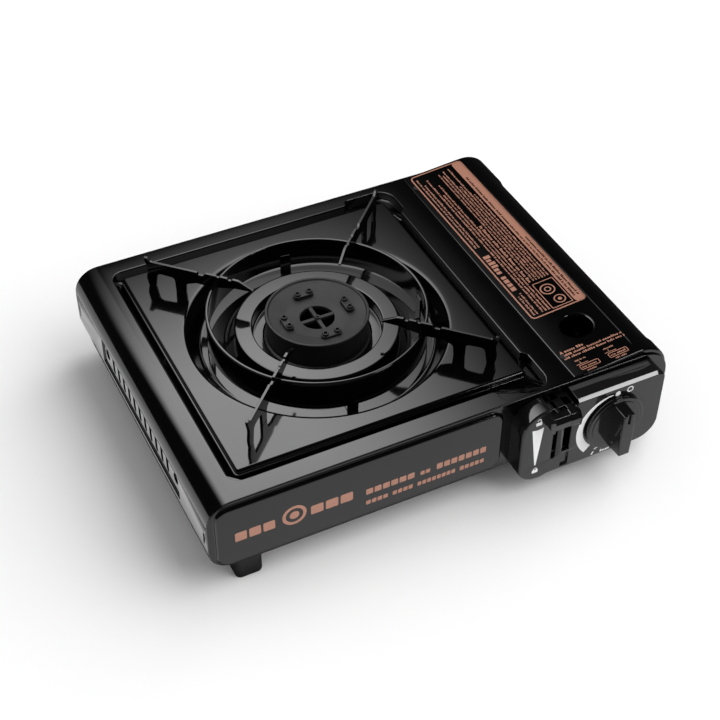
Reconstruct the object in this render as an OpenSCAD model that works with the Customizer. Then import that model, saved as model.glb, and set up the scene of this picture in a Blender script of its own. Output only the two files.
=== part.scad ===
// Portable butane camping stove with a drip pan, a lift-off pot support,
// a hinged canister cover, a gas knob and a fuel lock lever.
// X runs along the front towards the canister side, Y to the back, Z up.
// The origin is the middle of the footprint at the level of the feet.

/* [Casing] */
// Width of the casing, side to side
casing_w = 344; // [336:1:352]
// Depth of the casing, front sheet to rear sheet
casing_d = 254; // [250:1:260]
// Height of the top plate above the surface the feet stand on
top_z = 78; // [76:1:82]
// Height of the shallow part of the casing below the top plate
casing_h = 59; // [56:1:60]
// Extra depth of the canister bay below the shallow part
bay_drop = 14; // [12:1:15]
// Width of the canister bay
bay_w = 76.3; // [75:0.1:78]
// Radius of the folds along the left side
left_r = 18; // [14:1:20]
// Radius of the fold along the top right side
right_r = 22; // [18:1:24]
// Thickness of the pressed steel sheet
sheet = 0.8; // [0.6:0.1:1]

/* [Drip pan] */
// Side of the square drip pan
pan_side = 211; // [208:1:213]
// Radius of the bowl at the level of the plate
bowl_r = 93.7; // [92:0.1:95]
// Depth of the bowl
bowl_depth = 14; // [12:1:15]
// Radius of the hole the burner comes through
pan_hole_r = 47.3; // [46:0.1:48]

/* [Pot support] */
// Height of the support arms above the pan
arm_h = 22; // [21:0.5:24]
// Thickness of the support arms
arm_t = 2; // [1.5:0.1:2.5]
// Radius of the rim of the wind-break ring
ring_r = 76.1; // [75:0.1:77]
// Height of the rim of the wind-break ring above the pan
ring_top = 15.4; // [15:0.1:16]

/* [Burner] */
// Radius of the burner rim
burner_r = 36.5; // [35:0.1:38]
// Height of the burner rim above the pan
burner_top = 11.4; // [10:0.1:12]

/* [Controls] */
// How far the control panel stands in front of the casing
panel_out = 14.4; // [12:0.1:16]
// Radius of the knob
knob_r = 22.3; // [20:0.1:23]
// How far the knob stands in front of the control panel
knob_out = 17.6; // [16:0.1:18]
// Travel of the fuel lock lever
lever_travel = 30; // [20:1:32]

/* [Hidden] */
$fn = 48;
eps = 0.01;

xl = -casing_w / 2;
xr = casing_w / 2;
yb = 143;
yf = yb - casing_d;
zb = top_z - casing_h;
zbay = zb - bay_drop;
xs = xr - bay_w;
bay_foot_r = 6;
bay_right_r = 14;
step_r = 4;
steel = "#17181a";
enamel = "#101012";
plastic = "#2b2c2e";
brass = "#b08d4c";
zinc = "#8d9093";

// Burner axis, also the middle of the drip pan
bx = -36;
by = 16.7;
// Recess that holds the drip pan
recess_depth = 4;
recess_x0 = -112.5;
recess_x1 = 111.5;
recess_y = 113;
recess_r = 9;
pad_x0 = 78;
pad_x1 = 115.3;
pad_front = -125;
pad_back = 118.7;
pad_in = 84;
pad_r = 13;
chamber_hole_r = 98;

// Canister bay
canister_x = 133.5;
canister_z = 43.5;
hinge_x = 168.2;
hinge_z = 44;
hinge_pin_r = 1.5;
running_gap = 0.05;
lid_r = 24;
lid_gap = 0.5;
tray_wall_z = 38;

// Controls
panel_x0 = 47.3;
panel_x1 = 159.5;
panel_z0 = 10.2;
panel_z1 = 73.6;
panel_face = yf - panel_out;
knob_x = 120.3;
knob_z = 42.8;
shaft_r = 3;
slot_1 = [71.9, 75.9];
slot_2 = [80.3, 86.9];
slot_top = 71;
slot_1_low = 25.2;
slot_2_low = 28.7;
lever_z = 66.5;

// Points of an arc from angle a0 to a1, ends included
function arc(cx, cy, r, a0, a1, n = 10) =
    [for (i = [0:n]) [cx + r * cos(a0 + (a1 - a0) * i / n), cy + r * sin(a0 + (a1 - a0) * i / n)]];

// Cross section of the closed casing, seen from the front, moved inwards by t
function section(t) = concat(
    arc(xl + left_r, top_z - left_r, left_r - t, 180, 90),
    arc(xr - right_r, top_z - right_r, right_r - t, 90, 0),
    arc(xr - bay_right_r, zbay + bay_right_r, bay_right_r - t, 0, -90),
    arc(xs + bay_foot_r, zbay + bay_foot_r, bay_foot_r - t, -90, -180),
    arc(xs - step_r, zb - step_r, step_r + t, 0, 90, 6),
    arc(xl + left_r, zb + left_r, left_r - t, 270, 180)
);

// Cross section of the lid: it rises from the seam, then runs over the rounded right side
lid_x = xr - lid_r;
lid_slope = 5.2;
lid_cz = top_z + (lid_x - xs) * tan(lid_slope) - lid_r / cos(lid_slope);
function lid_outline(t) = concat(
    [[xs, top_z - t / cos(lid_slope)]],
    arc(lid_x, lid_cz, lid_r - t, 90 + lid_slope, 0, 14)
);

// Turns a drawing of X and Z into a solid between y0 and y1
module along_y(y0, y1) {
    translate([0, y1, 0])
        rotate([90, 0, 0])
            linear_extrude(y1 - y0)
                children();
}

// Box between two corners
module block(a, b) {
    translate(a)
        cube(b - a);
}

// Rectangle between two corners, with one radius on its corners
module rounded(x0, y0, x1, y1, r) {
    translate([x0 + r, y0])
        square([x1 - x0 - 2 * r, y1 - y0]);
    translate([x0, y0 + r])
        square([x1 - x0, y1 - y0 - 2 * r]);
    for (x = [x0 + r, x1 - r], y = [y0 + r, y1 - r])
        translate([x, y])
            circle(r);
}

// Strip with round ends between two heights
module slot_shape(x, y0, y1, w) {
    translate([x - w / 2, y0 + w / 2])
        square([w, y1 - y0 - w]);
    for (y = [y0 + w / 2, y1 - w / 2])
        translate([x, y])
            circle(w / 2);
}

// Rod of radius r from a to b along Y
module rod_y(x, z, y0, y1, r) {
    translate([x, y1, z])
        rotate([90, 0, 0])
            cylinder(h = y1 - y0, r = r);
}

// Outline of the recess, drawn about the burner axis and moved inwards by t
module recess_outline(t) {
    rounded(recess_x0 + t, -recess_y + t, recess_x1 - t, recess_y - t, recess_r - t);
    rounded(pad_x0 + t, pad_front + t, pad_x1 - t, -pad_in - t, pad_r - t);
    rounded(pad_x0 + t, pad_in + t, pad_x1 - t, pad_back - t, pad_r - t);
}

// Sheet that makes the top, the left side and the turned edge at the canister bay
vent_x = [for (i = [0:10]) -39.1 + i * 10.42];
vent_y = [-62, 86];
vent_z = [44.3, 59.8];
vent_hole = [-54.5, 77.2];
module casing_wrap() color(steel) {
    seam_x = xs - lid_gap / 2;
    difference() {
        union() {
            along_y(yf + sheet, yb - sheet)
                difference() {
                    polygon(section(0));
                    polygon(section(sheet));
                    translate([seam_x, 0])
                        square([200, 200]);
                    translate([xl + left_r, 0])
                        square([300, top_z - left_r]);
                }
            block([seam_x - sheet, yf + sheet, top_z - 6], [seam_x, yb - sheet, top_z - sheet]);
            translate([bx, by, top_z - recess_depth - sheet])
                linear_extrude(recess_depth + eps)
                    recess_outline(-sheet);
            // field around the side vents, pressed in by one sheet
            block([xl + sheet - eps, vent_y[0] - sheet, 39.2], [xl + 2 * sheet, vent_y[1] + sheet, 60]);
        }
        translate([bx, by, top_z - recess_depth])
            linear_extrude(recess_depth + 1)
                recess_outline(0);
        translate([bx, by, top_z - 20])
            cylinder(h = 30, r = chamber_hole_r, $fn = 96);
        block([xl - 1, vent_y[0], 40], [xl + sheet, vent_y[1], 60 - sheet]);
        for (y = vent_x)
            translate([xl - 2, y, 0])
                rotate([90, 0, 90])
                    linear_extrude(4)
                        slot_shape(0, vent_z[0], vent_z[1], 4.4);
        for (y = vent_hole)
            translate([xl - 2, y, 52])
                rotate([0, 90, 0])
                    cylinder(h = 4, r = 4);
    }
}

// Outline of the end sheets; the right half carries the extra bay depth
module end_outline() {
    polygon(section(0));
}

module end_flange(y0, y1) {
    along_y(y0, y1)
        difference() {
            polygon(section(sheet + 0.1));
            polygon(section(2 * sheet + 0.1));
            // room for the lid, the bay tray and the corner pads of the recess
            translate([xs - 2, tray_wall_z - 1])
                square([200, 100]);
            translate([bx + pad_x0 - 2, top_z - 6])
                square([pad_x1 - pad_x0 + 4, 10]);
            translate([xs - 6, 0])
                square([200, zb + 6]);
        }
}

// Raised field pressed into the front or rear sheet, a hollow pan towards out
module emboss(x0, z0, x1, z1, r, y0, y1) {
    along_y(y0, y1)
        rounded(x0, z0, x1, z1, r);
}

emboss_x = [-167, 39.5];
emboss_z = [22.6, 74.2];
emboss_r = 9;
emboss_out = 2.6;
control_cut = [[62, 16], [146, 72]];
boss = [[55.5, 30], [55.5, 60], [151.5, 32], [151.5, 60]];
screw_r = 1.2;
module front_panel() color(steel) {
    difference() {
        union() {
            along_y(yf, yf + sheet)
                end_outline();
            end_flange(yf + sheet - eps, yf + 8);
            emboss(emboss_x[0], emboss_z[0], emboss_x[1], emboss_z[1], emboss_r,
                yf - emboss_out, yf + sheet);
        }
        emboss(emboss_x[0] + sheet, emboss_z[0] + sheet, emboss_x[1] - sheet, emboss_z[1] - sheet,
            emboss_r - sheet, yf - emboss_out + sheet, yf + 2);
        along_y(yf - 5, yf + 3)
            rounded(control_cut[0][0], control_cut[0][1], control_cut[1][0], control_cut[1][1], 6);
        for (p = boss)
            rod_y(p[0], p[1], yf - 1, yf + 2, screw_r + 0.2);
        rod_y(hinge_x, hinge_z, yf - 2, yf + 2, hinge_pin_r);
    }
}

rear_vent_x = [for (i = [0:13]) -130 + i * 14];
hose_x = 133.5;
hose_z = 40;
hose_hole_r = 9;
module rear_panel() color(steel) {
    difference() {
        union() {
            along_y(yb - sheet, yb)
                end_outline();
            end_flange(yb - 8, yb - sheet + eps);
        }
        for (x = rear_vent_x)
            along_y(yb - 2, yb + 2)
                slot_shape(x, 36, 56, 5);
        rod_y(hose_x, hose_z, yb - 2, yb + 2, hose_hole_r);
        rod_y(hinge_x, hinge_z, yb - 2, yb + 2, hinge_pin_r);
    }
}

// Places of the screws that hold the burner bracket
base_screw = [for (x = [bx - 34, bx + 34], y = [by - 37, by + 37]) [x, y]];

// Bottom sheet of the shallow part, with air slots under the burner
module base_plate() color(steel) {
    difference() {
        union() {
            block([xl + left_r, yf + sheet, zb], [xs - step_r, yb - sheet, zb + sheet]);
            // stiffening ribs
            for (y = [-60, 95])
                block([xl + 30, y, zb + sheet - eps], [xs - 30, y + 3, zb + 3]);
        }
        for (a = [0:30:330])
            translate([bx, by, zb - 1])
                rotate([0, 0, a])
                    linear_extrude(6)
                        slot_shape(0, 42, 66, 6);
        for (p = base_screw)
            translate([p[0], p[1], zb - 1])
                cylinder(h = 3, r = 1.6);
    }
}

// Deep sheet tray under the canister
module bay_tray() color(steel) {
    difference() {
        along_y(yf + sheet, yb - sheet)
            difference() {
                polygon(section(0));
                polygon(section(sheet));
                translate([-300, 0])
                    square([300 + xs - step_r, 200]);
                translate([xs - 10, zb + sheet])
                    square([10 + sheet + eps, 100]);
                translate([xs, tray_wall_z])
                    square([200, 100]);
            }
        for (y = [-60:25:115])
            block([canister_x - 22, y, zbay - 1], [canister_x + 22, y + 4, zbay + 1]);
    }
}

// Heat shield between the burner chamber and the canister bay
partition_x = xs - 2.4;
module partition_wall() color(zinc) {
    difference() {
        union() {
            block([partition_x, yf + 16, zb + sheet], [partition_x + sheet, yb - 9, top_z - 9]);
            block([partition_x - 7, yf + 16, zb + sheet], [partition_x, yb - 9, zb + 2 * sheet]);
            // rests for the lid
            for (y = [[yf + 16, yf + 30], [yb - 24, yb - 10]])
                block([partition_x, y[0], top_z - 9.8], [partition_x + 10, y[1], top_z - 9]);
        }
        block([partition_x - 1, -14, zb + 4], [partition_x + 2, 48, zb + 9]);
        translate([partition_x - 1, yf + 30, 50])
            rotate([0, 90, 0])
                cylinder(h = 4, r = 12);
        for (y = [-30:20:110])
            translate([partition_x - 1, y, 0])
                rotate([90, 0, 90])
                    linear_extrude(3)
                        slot_shape(0, 44, 60, 4);
    }
}

// Four moulded feet: tall ones under the shallow part, pads under the bay
foot_x = -144;
foot_y = [yf + 11, yb - 18];
bay_foot_x = [xs + 20, xr - 28];
module feet() color(plastic) {
    for (y = foot_y)
        difference() {
            union() {
                translate([foot_x - 9.5, y - 9, 0])
                    linear_extrude(zb)
                        rounded(0, 0, 19, 18, 2.5);
            }
            translate([foot_x, y, -1])
                cylinder(h = 4, r = 4.5);
        }
    for (x = bay_foot_x, y = foot_y)
        translate([x, y, 0])
            cylinder(h = zbay, r = 8);
}

// Screws that hold the base sheet and the burner bracket
module base_screws() color(zinc) {
    for (p = base_screw)
        translate([p[0], p[1], zb - 1.6]) {
            cylinder(h = 1.6, r = 3.2);
            cylinder(h = 2.6 + 2 * sheet, r = 1.5);
        }
}

module lid_hinge_pins() color(zinc) {
    rod_y(hinge_x, hinge_z, yf + eps, yf + 14, hinge_pin_r);
    rod_y(hinge_x, hinge_z, yb - 14, yb - eps, hinge_pin_r);
}

// Hinged canister cover
finger = [123.6, -66.4];
finger_r = 11.5;
finger_collar = 4;
lid_y0 = yf + sheet + 0.6;
lid_y1 = yb - sheet - 0.6;
knuckle_r = 3.2;
lid_left = xs + lid_gap / 2;
lid_low = hinge_z - 2;
module lid() color(steel) {
    difference() {
        union() {
            along_y(lid_y0, lid_y1)
                difference() {
                    polygon(concat([[xs, 0]], lid_outline(0), [[xr, 0]]));
                    polygon(concat([[xs, -1]], lid_outline(sheet), [[xr - sheet, -1]]));
                    translate([-200, -10])
                        square([200 + lid_left, 200]);
                    translate([xs - 1, -10])
                        square([100, lid_low + 10]);
                }
            // turned edge along the seam
            block([lid_left, lid_y0, top_z - 6], [lid_left + sheet, lid_y1, top_z - 0.4]);
            // turned ends
            for (y = [lid_y0, lid_y1 - sheet])
                along_y(y, y + sheet)
                    difference() {
                        polygon(concat([[xs, 0]], lid_outline(eps), [[xr - eps, 0]]));
                        polygon(concat([[xs, -1]], lid_outline(6), [[xr - 6, -1]]));
                        translate([-200, -10])
                            square([200 + lid_left, 200]);
                        translate([xs - 1, -10])
                            square([100, hinge_z + 18]);
                    }
            // knuckles
            for (y = [lid_y0 + 1, lid_y1 - 11])
                difference() {
                    rod_y(hinge_x, hinge_z, y, y + 10, knuckle_r);
                    rod_y(hinge_x, hinge_z, y - 1, y + 11, hinge_pin_r + running_gap);
                }
            translate([finger[0], finger[1], top_z - 1])
                cylinder(h = finger_collar, r = finger_r + sheet);
        }
        translate([finger[0], finger[1], top_z - 10])
            cylinder(h = 30, r = finger_r);
        difference() {
            translate([finger[0], finger[1], top_z - 1.2])
                cylinder(h = 30, r = finger_r + 6);
            along_y(-200, 200)
                polygon(concat([[xs, 0]], lid_outline(0), [[xr, 0]]));
        }
    }
}

module lid_bumpers() color("#1a1a1a") {
    for (y = [yf + 23, yb - 17])
        translate([lid_left + 4.2, y, top_z - 8.8])
            cylinder(h = 9.3, r = 2.6);
}

// Drip pan: square plate with a turned edge and a round trough
bowl_in = 57.8;
module drip_pan() color(enamel) translate([bx, by, top_z]) {
    half = pan_side / 2;
    difference() {
        translate([0, 0, -recess_depth])
            linear_extrude(recess_depth)
                rounded(-half, -half, half, half, 2.5);
        translate([0, 0, -recess_depth - 1])
            linear_extrude(recess_depth + 1 - sheet)
                rounded(-half + sheet, -half + sheet, half - sheet, half - sheet, 2.5 - sheet);
        translate([0, 0, -10])
            cylinder(h = 20, r = bowl_r, $fn = 96);
    }
    rotate_extrude($fn = 96)
        polygon([
            [bowl_r + eps, 0], [bowl_r - 2.5, -1], [bowl_r - 9, -bowl_depth + 3],
            [bowl_r - 13, -bowl_depth], [bowl_in + 9, -bowl_depth], [bowl_in + 5, -bowl_depth + 3],
            [bowl_in, -0.4], [bowl_in - 1, 0.4], [pan_hole_r + 1, 0.4], [pan_hole_r, -0.4],
            [pan_hole_r, -4], [pan_hole_r + sheet, -4], [pan_hole_r + sheet, -0.6],
            [bowl_in - 1.6, -0.6], [bowl_in + 4.3, -bowl_depth + 2.6 - sheet],
            [bowl_in + 8.7, -bowl_depth - sheet], [bowl_r - 12.5, -bowl_depth - sheet],
            [bowl_r - 8.3, -bowl_depth + 2.7 - sheet], [bowl_r - 2, -1 - sheet], [bowl_r + eps, -sheet]
        ]);
}

// Wind-break ring: flared skirt with a rolled rim, on four short legs
ring_low = -8;
ring_flare = 1.1;
rim_roll = 1.2;
ring_leg_turn = 83;
module windbreak_ring() color(enamel) translate([bx, by, top_z]) {
    rotate_extrude($fn = 96) {
        polygon([
            [ring_r - sheet, ring_top - rim_roll], [ring_r, ring_top - rim_roll],
            [ring_r + ring_flare, ring_low], [ring_r + ring_flare - sheet, ring_low]
        ]);
        translate([ring_r, ring_top - rim_roll])
            circle(rim_roll, $fn = 24);
    }
    for (a = [0:90:270])
        rotate([0, 0, ring_leg_turn + a])
            block([ring_r + ring_flare - sheet - 0.6, -4, -bowl_depth], [ring_r + ring_flare - sheet, 4, 2]);
}

// Support arm: plate on two legs, drawn with its radius along X and its height along Y
arm_out = 128.5;
module arm_shape() {
    tooth = arm_h + 0.6;
    polygon([
        [arm_out - 1, 0], [arm_out + 0.3, 7], [arm_out - 1.2, 15], [arm_out + 1.2, arm_h + 1.4],
        [arm_out + 1.4, arm_h + 3], [arm_out - 1.2, arm_h + 3], [arm_out - 4, arm_h],
        [89.5, arm_h], [88, arm_h - 1.8], [84.5, arm_h - 1.8], [83, tooth], [75, tooth],
        [74, tooth - 0.8], [72.5, tooth - 0.8], [71.5, tooth], [66.5, tooth], [65.5, tooth - 1.4],
        [63.5, tooth - 1.4], [62.5, tooth], [58, tooth - 0.2], [47, arm_h - 5.4], [46.6, arm_h - 6.6],
        [60, ring_top - 0.4], [73, ring_top - 3], [74.4, ring_top - 3], [74.4, ring_top + 0.1],
        [77.8, ring_top + 0.1], [77.8, ring_top - 4], [90, 12], [98, 9], [98.6, 0],
        [106.5, 0], [107, 9], [110, 12], [117, 12.5], [120.5, 8], [122, 0]
    ]);
}
module support_arm(i) color(enamel)
    translate([bx, by, top_z])
        rotate([0, 0, 45 + 90 * i])
            translate([0, arm_t / 2, 0])
                rotate([90, 0, 0])
                    linear_extrude(arm_t)
                        arm_shape();
module support_arm_1() support_arm(0);
module support_arm_2() support_arm(1);
module support_arm_3() support_arm(2);
module support_arm_4() support_arm(3);

// Cast burner head: dished top over a hollow ring chamber
centre_hole_r = 12;
spoke_w = 3;
burner_low = -12;
module burner_head() color("#2a2a2c") translate([bx, by, top_z]) {
    rotate_extrude($fn = 96) {
        polygon([
            [burner_r - 0.5, burner_top - 1], [burner_r + 0.3, -6], [burner_r + 1, -7],
            [burner_r + 1, burner_low], [burner_r - 3, burner_low], [burner_r - 3, 4],
            [centre_hole_r + 2, 2.5], [centre_hole_r, 2.5], [centre_hole_r, burner_top - 6],
            [centre_hole_r + 10, burner_top - 4.6], [burner_r - 2, burner_top - 1]
        ]);
        translate([burner_r - 1.2, burner_top - 1.2])
            circle(1.2, $fn = 24);
    }
    for (a = [0, 90])
        rotate([0, 0, a])
            block([-centre_hole_r - 1, -spoke_w / 2, burner_top - 9.4],
                [centre_hole_r + 1, spoke_w / 2, burner_top - 6.4]);
}

// Flame ports: four small blocks with two tubes each
port_r = 23;
port_z = burner_top - 5;
module flame_ports() color("#2a2a2c") translate([bx, by, top_z]) {
    for (a = [0:90:270])
        rotate([0, 0, a])
            translate([port_r, 0, port_z])
                difference() {
                    union() {
                        block([-3, -4.5, 0], [3, 4.5, 3.4]);
                        for (y = [-4.5, 4.5])
                            translate([0, y, 0]) {
                                cylinder(h = 3.4, r = 3);
                                cylinder(h = 4.8, r = 2.3);
                            }
                    }
                    for (y = [-4.5, 4.5])
                        translate([0, y, 2])
                            cylinder(h = 4, r = 1.2);
                }
}

module burner_pin() color(zinc) translate([bx, by, top_z + burner_top - 6.4]) {
    cylinder(h = 1.2, r = 2);
    translate([0, 0, 1.2])
        sphere(1.1);
}

// Cast cup under the burner head, with a socket for the mixing tube
jet = [86, -86, 51];
tube_dx = jet[0] - bx;
tube_dy = jet[1] - by;
tube_angle = atan2(tube_dy, tube_dx);
tube_len = sqrt(tube_dx * tube_dx + tube_dy * tube_dy);
cup_r = 36;
cup_z = 40;
tube_r = 8;
module burner_base() color("#3b3c3e") {
    difference() {
        union() {
            translate([bx, by, cup_z])
                cylinder(h = top_z + burner_low - cup_z, r = cup_r);
            translate([bx, by, jet[2]])
                rotate([0, 0, tube_angle])
                    translate([30, 0, 0])
                        rotate([0, 90, 0])
                            cylinder(h = 20, r = tube_r);
        }
        translate([bx, by, cup_z + 2.5])
            cylinder(h = 100, r = cup_r - 3);
        translate([bx, by, jet[2]])
            rotate([0, 0, tube_angle])
                translate([20, 0, 0])
                    rotate([0, 90, 0])
                        cylinder(h = 60, r = tube_r - 2);
    }
}

// Long tube that mixes gas and air on the way to the burner
module mixing_tube() color(zinc) translate([bx, by, jet[2]]) rotate([0, 0, tube_angle]) {
    difference() {
        translate([50, 0, 0])
            rotate([0, 90, 0])
                cylinder(h = tube_len - 60, r = tube_r);
        translate([49, 0, 0])
            rotate([0, 90, 0])
                cylinder(h = tube_len, r = tube_r - 1.2);
        // air windows
        translate([tube_len - 26, -20, -3])
            cube([9, 40, 6]);
    }
}

// Brass jet that closes the mixing tube at the partition
module gas_jet() color(brass) translate([bx, by, jet[2]]) rotate([0, 0, tube_angle]) {
    difference() {
        union() {
            translate([tube_len - 10, 0, 0])
                rotate([0, 90, 0])
                    cylinder(h = 8, r = tube_r);
            translate([tube_len - 20, 0, 0])
                rotate([0, 90, 0])
                    cylinder(h = 12, r = 2.5);
        }
        translate([tube_len - 21, 0, 0])
            rotate([0, 90, 0])
                cylinder(h = 16, r = 0.6, $fn = 16);
    }
    // supply pipe through the partition to the regulator
    translate([tube_len - 2, 0, 0])
        rotate([0, 90, 0])
            cylinder(h = 12, r = 3);
}

// Folded sheet that carries the burner on the base
module burner_bracket() color(zinc) {
    difference() {
        union() {
            block([bx - 42, by - 42, zb + sheet], [bx + 42, by + 42, zb + 2 * sheet]);
            for (s = [-1, 1])
                block([bx - 14, by + s * 33 - 0.5, zb + sheet], [bx + 14, by + s * 33 + 0.5, cup_z]);
        }
        for (p = base_screw)
            translate([p[0], p[1], zb])
                cylinder(h = 5, r = 1.6);
        translate([bx, by, zb])
            cylinder(h = 5, r = 20);
    }
}

// Plate that leads a little burner heat to the canister
module heat_plate() color("#b9bbbd") {
    block([bx + 40, -12, zb + 5], [xs + sheet + 1.2, 46, zb + 6.2]);
    block([xs + sheet, -12, zb - 6], [xs + sheet + 1.2, 46, zb + 5 + eps]);
}

spark = [bx + 41.8 * cos(66), by + 41.8 * sin(66)];
module igniter_ceramic() color("#e8e2d4")
    translate([spark[0], spark[1], cup_z + 4])
        cylinder(h = 24, r = 2.4);
module igniter_electrode() color(zinc) {
    translate([spark[0], spark[1], cup_z + 28])
        cylinder(h = 5, r = 0.7);
    translate([spark[0], spark[1], zb + 2 * sheet])
        cylinder(h = cup_z + 4 - zb - 2 * sheet, r = 1);
}
reg_y = [-104, -86];
module piezo_igniter() color("#202020") {
    block([150, reg_y[0], 48], [158, reg_y[1] + 2, 57]);
    rod_y(154, 52.5, reg_y[1] + 2, reg_y[1] + 7, 2);
}

// Moulded housing of the controls
lever_open = [68.5, 90];
module control_panel() color(plastic) {
    wall = 2;
    difference() {
        union() {
            along_y(panel_face, yf) {
                difference() {
                    rounded(panel_x0, panel_z0, panel_x1, panel_z1, 7);
                    translate([panel_x1 - 16, panel_z0 - 1])
                        square([20, 17]);
                    translate([panel_x0 - 1, panel_z0 - 1])
                        square([17, 17]);
                }
                translate([panel_x1 - 16, panel_z0 + 16])
                    circle(16);
                translate([panel_x0 + 16, panel_z0 + 16])
                    circle(16);
            }
        }
        along_y(panel_face + wall, yf + 1)
            rounded(panel_x0 + wall, panel_z0 + wall, panel_x1 - wall, panel_z1 - wall, 13);
        along_y(panel_face - 1, panel_face + wall + 1) {
            translate([slot_1[0], slot_1_low])
                square([slot_1[1] - slot_1[0], slot_top - slot_1_low]);
            translate([slot_2[0], slot_2_low])
                square([slot_2[1] - slot_2[0], slot_top - slot_2_low]);
        }
        block([lever_open[0], panel_face - 1, slot_top - 1], [lever_open[1], yf - 2, panel_z1 + 1]);
        rod_y(knob_x, knob_z, panel_face - 1, yf + 1, shaft_r + 2);
    }
    for (p = boss)
        difference() {
            rod_y(p[0], p[1], panel_face + wall - eps, yf, 3.5);
            rod_y(p[0], p[1], yf - 8, yf + 1, screw_r + 0.05);
        }
}

module panel_screws() color(zinc) {
    for (p = boss) {
        rod_y(p[0], p[1], yf - 7, yf + sheet + eps, screw_r);
        rod_y(p[0], p[1], yf + sheet, yf + sheet + 1.6, 2.6);
    }
}

// Knob: disc with a tall grip blade across it
knob_gap = 0.6;
disc_h = 3.4;
grip_w = 8.4;
module control_knob() color(plastic) {
    y1 = panel_face - knob_gap;
    y0 = yf - panel_out - knob_out;
    difference() {
        union() {
            rod_y(knob_x, knob_z, y1 - disc_h, y1, knob_r);
            intersection() {
                rod_y(knob_x, knob_z, y0, y1 - disc_h + eps, knob_r - 1);
                translate([knob_x, 0, knob_z])
                    along_y(y0, y1 - disc_h + eps)
                        polygon([
                            [-grip_w / 2, -19.2], [grip_w / 2, -19.2], [grip_w / 2 + 3, 0],
                            [grip_w / 2, 19.2], [-grip_w / 2, 19.2], [-grip_w / 2 - 3, 0]
                        ]);
            }
        }
        rod_y(knob_x, knob_z, y0 + 8, y1 + 1, shaft_r);
        block([knob_x - 0.9, y0 - 1, knob_z + 8], [knob_x + 0.9, y0 + 1.2, knob_z + 30]);
    }
}

valve_y = -92;
module valve_shaft() color(brass)
    rod_y(knob_x, knob_z, yf - panel_out - knob_out + 8, valve_y, shaft_r);

// Cast pressure regulator with the tap
module regulator_body() color(zinc) {
    difference() {
        union() {
            block([104, reg_y[0], 26], [150, reg_y[1], 60]);
            rod_y(141, canister_z, reg_y[0] - 3, reg_y[0] + eps, 12);
            // legs down to the tray
            for (x = [112, 140])
                block([x, reg_y[0], zbay + sheet], [x + 6, reg_y[1], 26 + eps]);
            block([90.5, -91, 46], [104 + eps, -86, 54]);
        }
        rod_y(knob_x, knob_z, reg_y[0] - 1, valve_y + 1, shaft_r + running_gap);
        rod_y(canister_x, canister_z, reg_y[1] - 8, reg_y[1] + 1, 4);
    }
}

// Brass socket that takes the nozzle of the canister
socket_r = 5;
socket_len = 12;
module canister_socket() color(brass) {
    difference() {
        union() {
            rod_y(canister_x, canister_z, reg_y[1], reg_y[1] + 2, 14);
            rod_y(canister_x, canister_z, reg_y[1], reg_y[1] + 6, 9);
        }
        rod_y(canister_x, canister_z, reg_y[1] - 1, reg_y[1] + 8, socket_r);
    }
}

// Fuel lock lever: outside tab, two arms through the slots, bar inside
tab_x = [66.4, 85];
module fuel_lock_lever() color("#161617") {
    along_y(panel_face - 8.6, panel_face - 0.6)
        polygon([
            [tab_x[0], lever_z + 5], [tab_x[0] + 1.5, lever_z - 4.5], [tab_x[0] + 6, lever_z - 5.5],
            [tab_x[1] + 1.6, lever_z - 5.5], [tab_x[1] + 1.6, lever_z + 3.5], [tab_x[1] - 1, lever_z + 5]
        ]);
    for (s = [[slot_1[0] + 0.5, slot_1[1] - 0.5], [slot_2[0] + 0.5, slot_2[1] - 0.5]])
        block([s[0], panel_face - 1, lever_z - 4], [s[1], yf - 3, lever_z + 4]);
    block([70, panel_face + 3.2, lever_z - 5], [88, yf - 3, lever_z + 4]);
    block([80, yf - 3 - eps, lever_z - 4], [88, yf + 9, lever_z + 4]);
    block([80, yf + 5, lever_z - 4], [100, yf + 9, lever_z + 4]);
}

// Sliding holder that carries the canister to the socket
carriage_z = zbay + sheet + 1.6;
module canister_carriage() color(zinc) {
    block([canister_x - 15.2, -66, carriage_z], [canister_x + 15.2, 126, carriage_z + 1.2]);
    block([canister_x - 14, 124.8, carriage_z], [canister_x + 14, 126, carriage_z + 30]);
    along_y(-68, -66 + eps)
        difference() {
            translate([canister_x - 24, carriage_z])
                square([48, canister_z - carriage_z]);
            translate([canister_x, canister_z])
                circle(16);
        }
}

module carriage_rails() color(zinc) {
    for (x = [canister_x - 20, canister_x + 14.6])
        difference() {
            block([x, -56, zbay + sheet], [x + 5.4, 110, carriage_z + 3]);
            block([x + (x < canister_x ? 4 : -1), -57, carriage_z - 0.4],
                [x + (x < canister_x ? 7 : 1.4), 111, carriage_z + 1.6]);
        }
}

// Rubber ring in the rear sheet for a gas hose
grommet_r = 5.5;
module hose_grommet() color("#1a1a1a")
    difference() {
        union() {
            rod_y(hose_x, hose_z, yb - 3, yb - sheet, hose_hole_r + 2.5);
            rod_y(hose_x, hose_z, yb - 3, yb, hose_hole_r);
        }
        rod_y(hose_x, hose_z, yb - 5, yb + 2, grommet_r);
    }

casing_wrap();
front_panel();
rear_panel();
base_plate();
bay_tray();
partition_wall();
feet();
base_screws();
lid_hinge_pins();
lid();
lid_bumpers();
drip_pan();
windbreak_ring();
support_arm_1();
support_arm_2();
support_arm_3();
support_arm_4();
burner_head();
flame_ports();
burner_pin();
burner_base();
mixing_tube();
gas_jet();
burner_bracket();
heat_plate();
igniter_electrode();
igniter_ceramic();
piezo_igniter();
control_panel();
panel_screws();
control_knob();
valve_shaft();
regulator_body();
canister_socket();
fuel_lock_lever();
canister_carriage();
carriage_rails();
hose_grommet();
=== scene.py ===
"""Camping stove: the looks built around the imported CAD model. Sizes here are in millimetres."""

import math
import random

import bmesh
import bpy
from mathutils import Matrix, Vector
from mathutils.geometry import tessellate_polygon


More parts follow.
